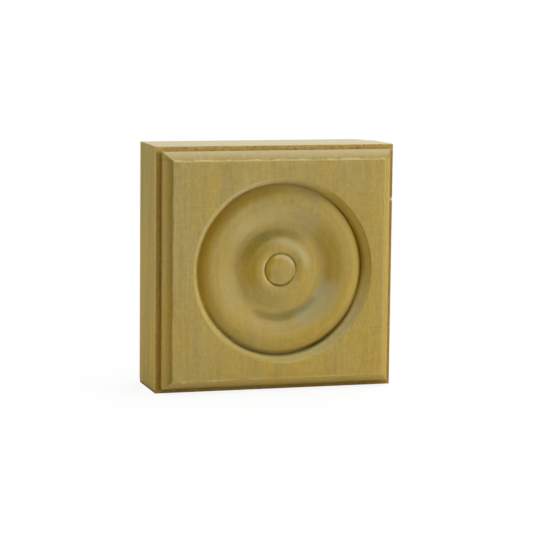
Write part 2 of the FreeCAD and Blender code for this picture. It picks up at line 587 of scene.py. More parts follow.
@dataclass(frozen=True)
class ClearWood:
    """The clear wood: warm and olive streaks, fibres and short flecks, all upright, and arcs in the dish.

    The warmth, the fine grain and the shade are sums, each with its start and a weight for each pattern.
    """

    olive: Tone = Tone(0.380, 0.296, 0.102)
    warm: Tone = Tone(0.405, 0.280, 0.061, Tint.COVER)
    blotches: Grain = Grain(120, (1, 1, 0.45))
    streaks: Grain = Grain(300, (1, 1, 0.07), (0, 1.2, 0))
    scores: Grain = Grain(1500, (0.12, 1, 1), (0, -2.0, 0))
    warm_start: float = -0.48
    warm_right: float = 5.5
    warm_up: float = -7.0
    warm_blotches: float = 1.2
    warm_streaks: float = 0.8
    fine_start: float = -0.46
    fine_hairs: float = 0.44
    fine_fibres: float = 0.26
    fine_scores: float = 0.22
    dish_edge: Ramp = Ramp(-1.0, 0.0, 1.0, 0.0)
    dish_calm: float = -0.4
    arc_length: float = 2.0 * MM
    arc_fineness: float = 650
    arc_detail: float = 3
    wall_start: Ramp = Ramp(0.0, 0.5)
    wall_end: Ramp = Ramp(-0.2, 0.0, 1.0, 0.0)
    shade_start: float = 0.88
    shade_streaks: float = 0.24
    shade_arcs: float = 0.26
    shade_lint: float = 0.5

    def lay(self, coat: Coat) -> None:
        """Lay the first coat.

        Args:
            coat: The wood, still bare of colour.
        """
        sheet, block = coat.sheet, coat.block
        streaks = self.streaks.pattern(sheet)
        warmth = sheet.total(
            self.warm_start,
            (coat.across, self.warm_right),
            (coat.up, self.warm_up),
            (self.blotches.pattern(sheet), self.warm_blotches),
            (streaks, self.warm_streaks),
        )
        coat.colour = self.olive.colour
        coat.lay(sheet.span(warmth, 0.0, 1.0, 0.0, 1.0, Step.STRAIGHT), self.warm)
        dish = sheet.product(coat.face, sheet.near(coat.radius, block.rim_radius, self.dish_edge))
        ways = (sheet.math("DIVIDE", part, coat.radius) for part in (coat.right, coat.above))
        around = (sheet.math("MULTIPLY", way, self.arc_length) for way in ways)
        arcs = sheet.noise(sheet.joined(coat.radius, *around), self.arc_fineness, self.arc_detail)
        fine = sheet.total(
            self.fine_start,
            (coat.hairs, self.fine_hairs),
            (coat.fibres, self.fine_fibres),
            (self.scores.pattern(sheet), self.fine_scores),
        )
        rising = sheet.near(coat.radius, block.wall_foot, self.wall_start)
        wall = sheet.product(coat.face, rising, sheet.near(coat.radius, block.rim_radius, self.wall_end))
        shade = sheet.total(
            self.shade_start,
            (sheet.product(fine, sheet.total(1.0, (dish, self.dish_calm))), 1.0),
            (streaks, self.shade_streaks),
            (sheet.product(dish, sheet.swing(arcs)), self.shade_arcs),
            (sheet.product(wall, coat.lint), self.shade_lint),
        )
        coat.shade(shade)


@dataclass(frozen=True)
class PlanedSides:
    """The planed sides: streaky, warm on the left and faded on the right, and paler next to the ledge."""

    planed: Tone = Tone(1.02, 0.98, 0.80)
    faded: Tone = Tone(0.97, 1.02, 1.35)
    square_on: Ramp = Ramp(0.95, 0.99)
    streaks: Grain = Grain(420, (1, 1, 0.05), (0.6, 0, 0))
    streak_start: float = -0.22
    streak_depth: float = 0.45
    handled: Ramp = Ramp(0.0, 5.0, 0.14, 0.0)

    def lay(self, coat: Coat) -> None:
        """Lay the streaks and the fading.

        Args:
            coat: The wood so far.
        """
        sheet = coat.sheet
        rightward = sheet.split(sheet.normal)[0]
        leftward = sheet.math("MULTIPLY", rightward, -1.0)
        coat.lay(sheet.sift(leftward, self.square_on), self.planed)
        coat.lay(sheet.sift(rightward, self.square_on), self.faded)
        sides = sheet.sift(sheet.math("ABSOLUTE", rightward), self.square_on)
        streaks = sheet.total(self.streak_start, (self.streaks.pattern(sheet), self.streak_depth))
        handled = sheet.near(coat.back, coat.block.ledge, self.handled)
        coat.shade(sheet.total(1.0, (sides, sheet.math("ADD", streaks, handled))))


@dataclass(frozen=True)
class SawnEnds:
    """Pale, porous end grain with its growth rings on the sawn ends, and a fainter share of that pale colour
    as painted light where a cut surface looks up.
    """

    sawn: Tone = Tone(0.420, 0.375, 0.245, Tint.COVER)
    end_on: Ramp = Ramp(0.92, 0.99)
    lit_from_above: Ramp = Ramp(0.35, 0.9, 0.0, 0.45)
    pores: Grain = Grain(3200)
    pore_depth: float = 0.6
    pith: tuple = (14.0 * MM, 62.0 * MM, 0)
    ring_width: float = 2.4 * MM
    ring_detail: float = 2
    ring_depth: float = 0.22
    wander: Grain = Grain(30, detail=0)
    wander_rings: float = 2

    def lay(self, coat: Coat) -> None:
        """Lay the end grain, and the painted light on surfaces that look up.

        Args:
            coat: The wood so far.
        """
        sheet = coat.sheet
        upward = sheet.split(sheet.normal)[2]
        ends = sheet.sift(sheet.math("ABSOLUTE", upward), self.end_on)
        # The ends are pale end grain; a surface that looks up gets part of the same pale colour as painted
        # light from above.
        pale = sheet.math("MAXIMUM", ends, sheet.sift(upward, self.lit_from_above))
        coat.lay(pale, self.sawn)
        across, back, _ = sheet.split(sheet.offset(self.pith))
        wander = (self.wander.pattern(sheet), self.wander_rings * self.ring_width)
        years = sheet.total(0.0, (sheet.hypotenuse(across, back), 1.0), wander)
        rings = sheet.noise(sheet.joined(years, 0.0, 0.0), 1 / self.ring_width, self.ring_detail)
        shade = sheet.total(
            1.0,
            (sheet.product(pale, sheet.swing(self.pores.pattern(sheet))), self.pore_depth),
            (sheet.product(ends, sheet.swing(rings)), self.ring_depth),
        )
        coat.shade(shade)


# A painted shade, for the ledge's inner corner and the shoulders.
SHADED = Tone(0.63, 0.61, 0.52)


@dataclass(frozen=True)
class ScorchedShadedLedge:
    """The ledge: browned by the cutter and darkened further by painted shade, least along the top, with
    painted shade in its inner corner, and bared and gritty along the top.
    """

    scorched_and_shaded: Tone = Tone(0.80, 0.66, 0.42)
    toasted: Tone = Tone(0.47, 0.33, 0.105, Tint.COVER)
    specks: Tone = Tone(0.45, 0.33, 0.20)
    shaded: Tone = SHADED
    singed: Tone = Tone(1.14, 1.02, 0.64)
    painted_contact_shadow: Tone = Tone(0.30, 0.32, 0.20)
    outside: Ramp = Ramp(-0.25, 0.05)
    past_riser: Ramp = Ramp(0.0, 0.6)
    past_ledge: Ramp = Ramp(0.05, 0.35, 1.0, 0.0)
    along_top: Ramp = Ramp(-1.0, 0.0)
    mottle: Grain = Grain(700)
    uneven: Ramp = Ramp(0.3, 0.65, 0.65, 1.0)
    spared_top: float = -0.65
    bared: Ramp = Ramp(0.40, 0.62, 0.9, 0.25)
    grit: Grain = Grain(1100, detail=1)
    gritty: Ramp = Ramp(0.60, 0.72, 0.0, 0.5)
    corner: Ramp = Ramp(0.1, 0.9, 0.36, 0.0)
    left_ledge: Ramp = Ramp(-0.2, 0.0, 1.0, 0.0)
    outer_edge: Ramp = Ramp(-0.7, -0.2)
    sole: Ramp = Ramp(0.35, 0.85, 1.0, 0.0)
    behind: Ramp = Ramp(0.3, 0.9)
    left_side: Ramp = Ramp(0.3, 0.6, 1.0, 0.0)

    def lay(self, coat: Coat) -> None:
        """Lay the browning with its painted shade, the grit, the painted shade in the corner and the dark
        edge, and the painted shadow along the bottom edge behind it.

        Args:
            coat: The wood so far.
        """
        sheet, block = coat.sheet, coat.block
        outside = sheet.near(coat.outward, block.foot, self.outside)
        level = sheet.near(coat.back, block.riser, self.past_riser)
        strip = sheet.product(outside, level, sheet.near(coat.back, block.ledge, self.past_ledge))
        top = sheet.near(coat.up, block.foot, self.along_top)
        mottle = self.mottle.pattern(sheet)
        # Browning of the ledge together with painted shade: full on the left, right and bottom ledges, about
        # a third of it along the top.
        most = sheet.total(1.0, (top, self.spared_top))
        coat.lay(sheet.product(strip, sheet.sift(mottle, self.uneven), most), self.scorched_and_shaded)
        coat.lay(sheet.product(strip, top, sheet.sift(mottle, self.bared)), self.toasted)
        grit = sheet.sift(self.grit.pattern(sheet), self.gritty)
        coat.lay(sheet.product(strip, top, grit), self.specks)
        # Painted shade in the ledge's inner corner by the riser, except along the top.
        corner = sheet.near(coat.outward, block.foot, self.corner)
        coat.lay(sheet.product(strip, corner, sheet.total(1.0, (top, -1.0))), self.shaded)
        left = sheet.near(coat.across, -block.foot, self.left_ledge)
        outer = sheet.near(coat.outward, block.half, self.outer_edge)
        coat.lay(sheet.product(strip, left, outer), self.singed)
        # Painted shadow along the bottom edge of the left side, behind the ledge.
        sole = sheet.near(coat.up, -block.half, self.sole)
        behind = sheet.near(coat.back, block.ledge, self.behind)
        side = sheet.near(coat.across, -block.half, self.left_side)
        coat.lay(sheet.product(sole, behind, side), self.painted_contact_shadow)


@dataclass(frozen=True)
class ShadedShoulders:
    """Painted light and shade on the left and the top shoulder: the left one lit and warmer all over, and
    both darkening towards the arris as painted shade.
    """

    lit_gold: Tone = Tone(1.20, 1.10, 0.88)
    shaded: Tone = SHADED
    top_shade: Tone = Tone(0.82, 0.82, 0.80)
    ahead: Ramp = Ramp(-0.3, 0.1, 1.0, 0.0)
    mitre: Ramp = Ramp(-0.15, 0.15)
    left_whole: Ramp = Ramp(-0.1, 0.2, 1.0, 0.0)
    left_rise: Ramp = Ramp(0.2, 2.4)
    left_end: Ramp = Ramp(0.0, 0.3, 1.0, 0.0)
    top_rise: Ramp = Ramp(-2.5, -0.3, 1.0, 0.0)
    top_end: Ramp = Ramp(0.0, 0.3)
    mottle: Grain = Grain(900)
    uneven: Ramp = Ramp(0.3, 0.7, 0.35, 1.0)

    def lay(self, coat: Coat) -> None:
        """Lay the painted light and the painted shade.

        Args:
            coat: The wood so far.
        """
        sheet, block = coat.sheet, coat.block
        ahead = sheet.near(coat.back, block.riser, self.ahead)
        past_mitre = sheet.total(0.0, (coat.across, -1.0), (coat.aloft, -1.0))
        left = sheet.product(ahead, sheet.near(past_mitre, 0.0, self.mitre))
        # Painted light, warmer, over the whole left shoulder.
        coat.lay(sheet.product(left, sheet.near(coat.across, -block.arris, self.left_whole)), self.lit_gold)
        # Painted shade on the left shoulder, deepening towards the arris.
        rise = sheet.near(coat.across, -block.foot, self.left_rise)
        coat.lay(sheet.product(left, rise, sheet.near(coat.across, -block.arris, self.left_end)), self.shaded)
        # Painted shade, mottled, on the top shoulder towards the arris.
        slope = sheet.product(
            sheet.near(coat.up, block.arris, self.top_end), sheet.near(coat.up, block.foot, self.top_rise)
        )
        uneven = sheet.sift(self.mottle.pattern(sheet), self.uneven)
        coat.lay(sheet.product(ahead, slope, uneven), self.top_shade)


@dataclass(frozen=True)
class RubbedEdges:
    """Paler lines where sanding rubbed the arris, softer and broader on the right, and the dish's rim."""

    rubbed: Tone = Tone(0.50, 0.415, 0.165, Tint.COVER)
    sharp: Band = Band(-0.4, -0.1, 0.1, 0.4)
    soft: Band = Band(-2.0, -0.4, 0.0, 0.4)
    soft_amount: float = 0.22
    right_side: Ramp = Ramp(-0.6, -0.4)
    right_ends: Ramp = Ramp(-0.5, -0.3, 1.0, 0.0)
    right_spared: float = -0.75
    rim: Band = Band(-0.5, -0.2, 0.05, 0.35)
    rim_amount: float = 0.4
    shallow: Ramp = Ramp(0.5, 0.9, 1.0, 0.0)
    patches: Grain = Grain(260)
    uneven: Ramp = Ramp(0.3, 0.7, 0.25, 0.65)

    def lay(self, coat: Coat) -> None:
        """Lay the lines.

        Args:
            coat: The wood so far.
        """
        sheet, block = coat.sheet, coat.block
        beside = sheet.near(coat.across, block.arris, self.right_side)
        right = sheet.product(beside, sheet.near(coat.aloft, block.arris, self.right_ends))
        sharp = sheet.strip(coat.outward, block.arris, self.sharp)
        line = sheet.product(sharp, sheet.total(1.0, (right, self.right_spared)))
        soft = sheet.strip(coat.across, block.arris, self.soft)
        arris = sheet.total(0.0, (line, 1.0), (soft, self.soft_amount))
        rim = sheet.product(sheet.strip(coat.radius, block.rim_radius, self.rim), self.rim_amount)
        shallow = sheet.near(coat.back, block.front, self.shallow)
        uneven = sheet.sift(self.patches.pattern(sheet), self.uneven)
        coat.lay(sheet.product(sheet.math("MAXIMUM", arris, rim), shallow, uneven), self.rubbed)


@dataclass(frozen=True)
class DishLightAndStain:
    """A patch along an arc of the turned dish: painted shade where a slope turns from the light, painted
    light, a highlight or sheen where it faces it, or a tint of the wood.

    It lies between two radii, and fades over the two feathers inside them, all in millimetres. The bearing
    runs anticlockwise from the right, and the reach is the half angle, both in degrees. The rougher the
    surface, the more the fibres break the patch up, and on the roughest its sides fray too.
    """

    inner: float
    outer: float
    bearing: float
    reach: float
    tone: Tone
    amount: float
    feathers: tuple = (1.5, 1.5)
    rough: float = 0.25
    unbroken: float = 0.82
    roughest: float = 1.0

    def lay(self, coat: Coat) -> None:
        """Lay the patch over the carved face.

        Args:
            coat: The wood so far.
        """
        sheet = coat.sheet
        bearing, reach = math.radians(self.bearing), math.radians(self.reach)
        rising, falling = self.feathers
        band = Band(self.inner, self.inner + rising, self.outer - falling, self.outer)
        radius = coat.frayed if self.rough == self.roughest else coat.radius
        toward = sheet.total(0.0, (coat.right, math.cos(bearing)), (coat.above, math.sin(bearing)))
        cosine = sheet.math("DIVIDE", toward, coat.radius)
        facing = sheet.span(cosine, math.cos(reach), math.cos(reach / 2), 0.0, 1.0)
        broken = sheet.total(self.unbroken * (1 - self.rough), (coat.ragged, self.rough))
        strip = sheet.strip(radius, 0.0, band)
        coat.lay(sheet.product(strip, facing, coat.face, broken, self.amount), self.tone)


@dataclass(frozen=True)
class Fleck:
    """A small mark in the wood: its middle and its half sizes along the three axes, in millimetres."""

    middle: tuple
    half: tuple
    tone: Tone
    amount: float
    core: float = 0.35

    def lay(self, coat: Coat) -> None:
        """Lay the mark, full in its core and gone at its half sizes.

        Args:
            coat: The wood so far.
        """
        sheet = coat.sheet
        reach = sheet.reach(sheet.offset(metres(self.middle)), metres(self.half))
        coat.lay(sheet.span(reach, self.core, 1.0, self.amount, 0.0), self.tone)


# Painted shade in the dish's valley, olive.
OLIVE_SHADE = Tone(0.66, 0.68, 0.55)
GOLD = Tone(1.00, 0.92, 0.48)
# Darker and browner: painted shade on the dish's slopes that turn from the light and on the button's left
# edge, and along the rim at the lower left.
UMBER = Tone(0.82, 0.70, 0.40)
# Painted shadow in the quirk.
QUIRK_SHADOW = Tone(0.55, 0.47, 0.22)
# Painted shadow, grey, in the quirk at the bottom.
GREY_SHADOW = Tone(0.51, 0.59, 0.76)
# Painted shadow, deep, in the quirk at the bottom.
DEEP_SHADOW = Tone(0.56, 0.54, 0.40)
LEMON = Tone(1.00, 1.01, 0.74)
COOL = Tone(1.00, 1.04, 1.28)
# Painted shade in the groove round the button; also dark flecks in the wood.
DARK = Tone(0.35, 0.28, 0.18)
RUSSET = Tone(0.80, 0.60, 0.32)
# Painted light, pale, on the ring's upper inner slope.
PALE_LIGHT = Tone(0.44, 0.378, 0.172, Tint.COVER)
# Painted sheen, grey, low on the right of the dish.
GREY_SHEEN = Tone(0.40, 0.360, 0.188, Tint.COVER)
# Painted highlight on the boss, upper right.
PALE_HIGHLIGHT = Tone(0.44, 0.380, 0.185, Tint.COVER)
# Painted light, warm, on the groove's outer side and the wall's foot, to the left and below.
WARM_LIGHT = Tone(0.78, 0.64, 0.24, Tint.COVER)
# Painted highlight and sheen: the button's crescent, the boss's lip, and the wall at the left and lower
# right.
HIGHLIGHT = Tone(0.50, 0.43, 0.21, Tint.COVER)
# Painted light, golden, on the ring's right flank and the wall on the right.
AMBER_LIGHT = Tone(0.53, 0.405, 0.110, Tint.COVER)
# Painted light, golden, by the quirk on the right.
HONEY_LIGHT = Tone(0.72, 0.560, 0.120, Tint.COVER)
STRAW = Tone(0.56, 0.45, 0.19, Tint.COVER)

# Most of these are painted shade in the valley, the quirk and the button's groove and on slopes that turn
# from the light, and painted light, highlights and sheen on slopes that face it; the gold, lemon and cool
# ones are tints of the wood.
DISH_LIGHT_AND_STAINS = (
    DishLightAndStain(9.8, 14.5, 108, 70, OLIVE_SHADE, 1.0),
    DishLightAndStain(13.0, 17.2, 150, 40, OLIVE_SHADE, 0.40),
    DishLightAndStain(10.8, 13.8, 103, 24, OLIVE_SHADE, 0.45, (1.2, 1.2)),
    DishLightAndStain(14.4, 18.0, 279, 50, OLIVE_SHADE, 0.95, (1.7, 0.8)),
    DishLightAndStain(6.3, 15.0, 166, 55, GOLD, 1.0, (1.5, 3.0)),
    DishLightAndStain(8.0, 12.0, 180, 45, UMBER, 0.3),
    DishLightAndStain(3.5, 11.0, 355, 42, GOLD, 0.5, (1.0, 2.0)),
    DishLightAndStain(15.5, 23.0, 12, 48, GOLD, 0.7, (2.0, 2.0)),
    DishLightAndStain(15.5, 21.0, 8, 40, UMBER, 0.2),
    DishLightAndStain(23.5, 29.0, 150, 90, GOLD, 0.74, (3.0, 0.3)),
    DishLightAndStain(24.0, 29.0, 142, 65, UMBER, 0.7, (2.0, 0.3)),
    DishLightAndStain(26.4, 29.0, 170, 40, GOLD, 1.0, (1.0, 0.3)),
    DishLightAndStain(21.5, 29.0, 315, 60, GOLD, 0.4, (2.0, 0.3)),
    DishLightAndStain(24.5, 28.6, 12, 58, AMBER_LIGHT, 0.8, (2.0, 0.3)),
    DishLightAndStain(26.4, 28.4, 22, 42, HONEY_LIGHT, 0.35, (0.8, 0.3)),
    DishLightAndStain(15.0, 22.5, 95, 62, PALE_LIGHT, 0.45, (2.0, 3.0)),
    DishLightAndStain(10.0, 23.0, 238, 60, COOL, 0.8, (2.0, 2.0)),
    DishLightAndStain(11.8, 16.5, 68, 36, COOL, 1.0),
    DishLightAndStain(13.8, 23.5, 317, 36, GREY_SHEEN, 0.80, (3.0, 5.0), 0.6),
    DishLightAndStain(14.3, 17.3, 302, 24, OLIVE_SHADE, 0.6, (1.2, 0.8)),
    DishLightAndStain(7.4, 12.0, 52, 62, PALE_HIGHLIGHT, 0.75, (1.8, 2.4)),
    DishLightAndStain(3.2, 5.25, 66, 66, HIGHLIGHT, 0.95, (1.2, 0.20)),
    DishLightAndStain(3.2, 5.5, 170, 66, UMBER, 1.0, (1.0, 0.2)),
    DishLightAndStain(2.0, 5.5, 150, 80, GOLD, 0.7, (1.5, 0.2)),
    DishLightAndStain(4.95, 5.75, 195, 90, DARK, 0.50, (0.35, 0.30)),
    DishLightAndStain(4.65, 6.05, 285, 60, DARK, 0.75, (0.40, 0.55)),
    DishLightAndStain(5.40, 6.40, 326, 26, HIGHLIGHT, 0.40, (0.25, 0.40)),
    DishLightAndStain(5.15, 6.00, 68, 84, DARK, 0.70, (0.25, 0.30)),
    DishLightAndStain(5.5, 6.8, 190, 70, WARM_LIGHT, 0.32, (0.3, 0.8)),
    DishLightAndStain(28.9, 31.3, 318, 50, HIGHLIGHT, 0.75, (0.3, 0.2), 1.0),
    DishLightAndStain(28.9, 31.3, 160, 85, HIGHLIGHT, 0.75, (0.3, 0.2), 1.0),
    DishLightAndStain(28.5, 29.8, 184, 68, WARM_LIGHT, 0.80, (0.2, 0.6)),
    DishLightAndStain(28.9, 31.3, 28, 55, GOLD, 1.0, (0.3, 0.2)),
    DishLightAndStain(29.0, 30.2, 292, 76, WARM_LIGHT, 0.30, (0.3, 0.3)),
    DishLightAndStain(29.6, 31.0, 5, 40, AMBER_LIGHT, 0.45, (0.4, 0.3)),
    DishLightAndStain(29.8, 31.3, 88, 36, STRAW, 0.40, (0.4, 0.2)),
    DishLightAndStain(30.5, 31.6, 212, 62, UMBER, 0.9, (0.3, 0.3)),
    DishLightAndStain(27.2, 29.0, 330, 60, QUIRK_SHADOW, 0.8, (1.0, 0.35)),
    DishLightAndStain(27.2, 29.0, 218, 18, QUIRK_SHADOW, 0.55, (1.0, 0.35)),
    DishLightAndStain(26.9, 29.0, 268, 56, GREY_SHADOW, 0.8, (1.4, 0.35)),
    DishLightAndStain(27.9, 29.5, 312, 28, QUIRK_SHADOW, 0.6, (0.4, 0.4)),
    DishLightAndStain(28.4, 29.5, 272, 46, DEEP_SHADOW, 1.0, (0.4, 0.4)),
    DishLightAndStain(28.1, 29.3, 20, 38, QUIRK_SHADOW, 0.9, (0.4, 0.4)),
    DishLightAndStain(27.8, 29.8, 5, 34, GOLD, 1.0, (0.4, 0.4)),
    DishLightAndStain(29.3, 31.5, 240, 90, LEMON, 1.0, (0.3, 0.2)),
)

FLECKS = (
    Fleck((-15.9, -24.3, -22.8), (0.5, 1.0, 0.5), DARK, 0.9),
    Fleck((-41.3, -15.8, -12.4), (0.5, 0.35, 0.8), DARK, 0.6),
    Fleck((40.7, -23.2, 22.5), (1.3, 1.2, 0.70), STRAW, 0.85),
    Fleck((1.0, -25.4, -7.4), (0.25, 1.0, 0.9), DARK, 0.45),
    Fleck((-27.8, -23.1, 40.3), (0.6, 0.5, 0.45), DARK, 0.6),
    Fleck((19.5, -23.1, 39.9), (0.6, 0.5, 0.45), DARK, 0.6),
    Fleck((4.8, -26.0, 22.8), (0.30, 1.5, 1.2), RUSSET, 0.8),
    Fleck((8.3, -26.0, 23.0), (0.25, 1.5, 0.8), RUSSET, 0.6),
    Fleck((11.8, -26.0, 22.6), (0.25, 1.5, 0.9), RUSSET, 0.6),
    Fleck((-5.2, -26.0, -24.0), (0.22, 1.5, 0.9), RUSSET, 0.6),
    Fleck((2.8, -26.0, -24.2), (0.25, 1.5, 0.8), RUSSET, 0.5),
    Fleck((9.9, -26.0, -23.8), (0.22, 1.5, 0.9), RUSSET, 0.6),
)


@dataclass(frozen=True)
class TornFibres:
    """Pale, bare fibres where the surface is torn."""

    bare: Tone = STRAW
    bared: Ramp = Ramp(0.1, 0.9, 0.0, 0.9)

    def lay(self, coat: Coat) -> None:
        """Lay the bare fibres over the wood so far."""
        coat.lay(coat.sheet.sift(coat.sheet.own(TORN), self.bared), self.bare)


@dataclass(frozen=True)
class BareWood:
    """Unfinished, sanded poplar with its grain upright: its layers of colour, and its surface."""

    name: str = "bare_wood"
    layers: tuple = (
        ClearWood(),
        PlanedSides(),
        SawnEnds(),
        ScorchedShadedLedge(),
        ShadedShoulders(),
        RubbedEdges(),
        *DISH_LIGHT_AND_STAINS,
        *FLECKS,
        TornFibres(),
    )
    roughness: float = 0.65
    fibre_roughness: float = 0.2
    gloss: float = 0.08
    hair_height: float = 0.6
    fibre_height: float = 0.4
    groove_height: float = 0.5
    groove_width: float = 0.8 * MM
    grooved: Ramp = Ramp(-0.5, 0.0, 0.12, 0.0)
    relief: float = 0.06 * MM
    relief_strength: float = 0.35

    def surface(self, coat: Coat) -> None:
        """Give the wood its dull gloss, its fibres' relief and the fine grooves that the turning left.

        Args:
            coat: The wood with all its colour.
        """
        sheet, shader = coat.sheet, coat.sheet.shader.inputs
        sheet.feed(shader["Roughness"], sheet.total(self.roughness, (coat.fibres, self.fibre_roughness)))
        sheet.feed(shader["Specular IOR Level"], self.gloss)
        wave = sheet.math("SINE", sheet.math("MULTIPLY", coat.radius, math.tau / self.groove_width))
        grooved = sheet.near(coat.radius, coat.block.rim_radius, self.grooved)
        height = sheet.total(
            0.0,
            (coat.hairs, self.hair_height),
            (coat.fibres, self.fibre_height),
            (sheet.product(wave, grooved, coat.face), self.groove_height),
        )
        sheet.feed(shader["Normal"], sheet.bump(height, self.relief_strength, self.relief))

    def material(self, block: "RosetteBlock") -> bpy.types.Material:
        """Build the wood.

        Args:
            block: The block that is dressed.

        Returns:
            The material.
        """
        sheet = Sheet(self.name)
        coat = Coat(sheet, block)
        for layer in self.layers:
            layer.lay(coat)
        sheet.feed(sheet.shader.inputs["Base Color"], coat.colour)
        self.surface(coat)
        return sheet.material


@dataclass(frozen=True)
class TornPatch:
    """A patch that the cutter tore: a box with faded sides, and the way and coarseness of the tearing.

    Sizes are in millimetres. The level is the share of the noise that lies below the clean surface, and
    bared is how pale the fibres are that stand out most.
    """

    name: str
    low: tuple
    high: tuple
    along: Along
    push: float
    lumps: tuple
    level: float
    bared: float
    fade: float = 0.20
    contrast: float = 3.0

    def weight(self, point: Vector) -> float:
        """How much of the tearing reaches a point.

        Args:
            point: The point.

        Returns:
            From 0 outside the patch to 1 well inside it.
        """
        sides = zip(point, metres(self.low), metres(self.high))
        room = min(min(value - low, high - value) for value, low, high in sides)
        return min(1.0, max(0.0, room / (self.fade * MM)))

    def tear(self, piece: bpy.types.Object) -> list[float]:
        """Push the patch's points about.

        Args:
            piece: The block.

        Returns:
            How torn and pale each of its points is.
        """
        group = piece.vertex_groups.new(name=self.name)
        before = [vert.co.copy() for vert in piece.data.vertices]
        weights = [self.weight(point) for point in before]
        for number, weight in enumerate(weights):
            if weight > 0:
                group.add([number], weight, "REPLACE")
        texture = bpy.data.textures.new(self.name, "CLOUDS")
        texture.noise_scale = 1.0
        texture.noise_depth = 2
        texture.contrast = self.contrast
        ruler = bpy.data.objects.new(self.name, None)
        ruler.scale = metres(self.lumps)
        bpy.context.scene.collection.objects.link(ruler)
        bpy.context.view_layer.update()
        push = self.push * MM
        wave = piece.modifiers.new(self.name, "DISPLACE")
        wave.texture = texture
        wave.texture_coords = "OBJECT"
        wave.texture_coords_object = ruler
        wave.vertex_group = group.name
        wave.direction = self.along.value
        wave.strength = push
        wave.mid_level = self.level
        bpy.ops.object.modifier_apply(modifier=wave.name)
        bpy.data.objects.remove(ruler)
        bpy.data.textures.remove(texture)
        piece.vertex_groups.remove(piece.vertex_groups[self.name])
        index = "XYZ".index(self.along.value)
        rises = [vert.co[index] - old[index] for vert, old in zip(piece.data.vertices, before)]
        return [self.bared * (self.level * weight + rise / push) for weight, rise in zip(weights, rises)]


@dataclass(frozen=True)
class Knock:
    """A corner or an edge that was knocked or worn back.

    Its place, how wide it is and where it went are in millimetres.
    """

    place: tuple
    width: float
    push: tuple

    def dent(self, piece: bpy.types.Object) -> None:
        """Push the surface in around the place, fading with the distance.

        Args:
            piece: The block.
        """
        place = Vector(metres(self.place))
        nearest = min(piece.data.vertices, key=lambda vert: (vert.co - place).length)
        number = nearest.index
        bpy.ops.object.mode_set(mode="EDIT")
        bpy.ops.mesh.select_mode(type="VERT")
        bpy.ops.mesh.select_all(action="DESELECT")
        mesh = bmesh.from_edit_mesh(piece.data)
        mesh.verts.ensure_lookup_table()
        mesh.verts[number].select_set(True)
        mesh.select_flush_mode()
        bmesh.update_edit_mesh(piece.data)
        bpy.ops.transform.translate(
            value=metres(self.push),
            use_proportional_edit=True,
            proportional_edit_falloff="SMOOTH",
            proportional_size=self.width * MM,
        )
        bpy.ops.object.mode_set(mode="OBJECT")


TEARS = (
    TornPatch(
        "top_arris", (-36.7, -28.8, 36.35), (36.7, -28.1, 37.1),
        Along.UPRIGHT, 0.35, (1.3, 1.0, 1.0), 0.40, 0.8,
    ),
    TornPatch(
        "top_left_tear", (-36.7, -28.8, 36.42), (-20.5, -28.2, 37.1),
        Along.UPRIGHT, 0.45, (0.9, 0.7, 0.7), 0.55, 1.1,
    ),
    TornPatch(
        "top_right_tear", (16.0, -28.8, 36.42), (28.5, -28.2, 37.1),
        Along.UPRIGHT, 0.65, (1.3, 0.7, 0.7), 0.50, 1.1,
    ),
    TornPatch(
        "bottom_tear", (-34.0, -28.8, -37.3), (-4.0, -28.0, -36.30),
        Along.UPRIGHT, -0.55, (1.8, 0.8, 0.8), 0.45, 0.6,
    ),
    TornPatch(
        "top_ledge", (-40.9, -23.6, 39.5), (40.9, -22.7, 41.1),
        Along.DEPTH, 0.30, (0.9, 0.9, 0.9), 0.45, 0.0, fade=0.25, contrast=2.0,
    ),
)

KNOCKS = (
    Knock((41.275, -23.135, 22.6), 0.9, (-0.08, 0.30, 0)),
    Knock((41.275, 0, 41.275), 7.0, (-0.35, -0.15, -0.45)),
    Knock((41.275, -9.2, 41.275), 9.0, (-0.10, 0, -0.25)),
    Knock((-41.275, 0, -41.275), 1.6, (0.15, -0.10, 0.12)),
)


@dataclass(frozen=True)
class Facets:
    """How many pieces each run of the two sections, and each loop around them, is cut into.

    The first disc takes up one piece of the hub's.
    """

    turn: int = 384
    side_cuts: int = 255
    hub: int = 12
    button: int = 6
    button_edge: int = 8
    boss: int = 12
    flank: int = 5
    valley: int = 10
    ring: int = 26
    wall: int = 2
    edge: int = 4
    shoulder: int = 10
    riser: int = 3
    ledge: int = 2


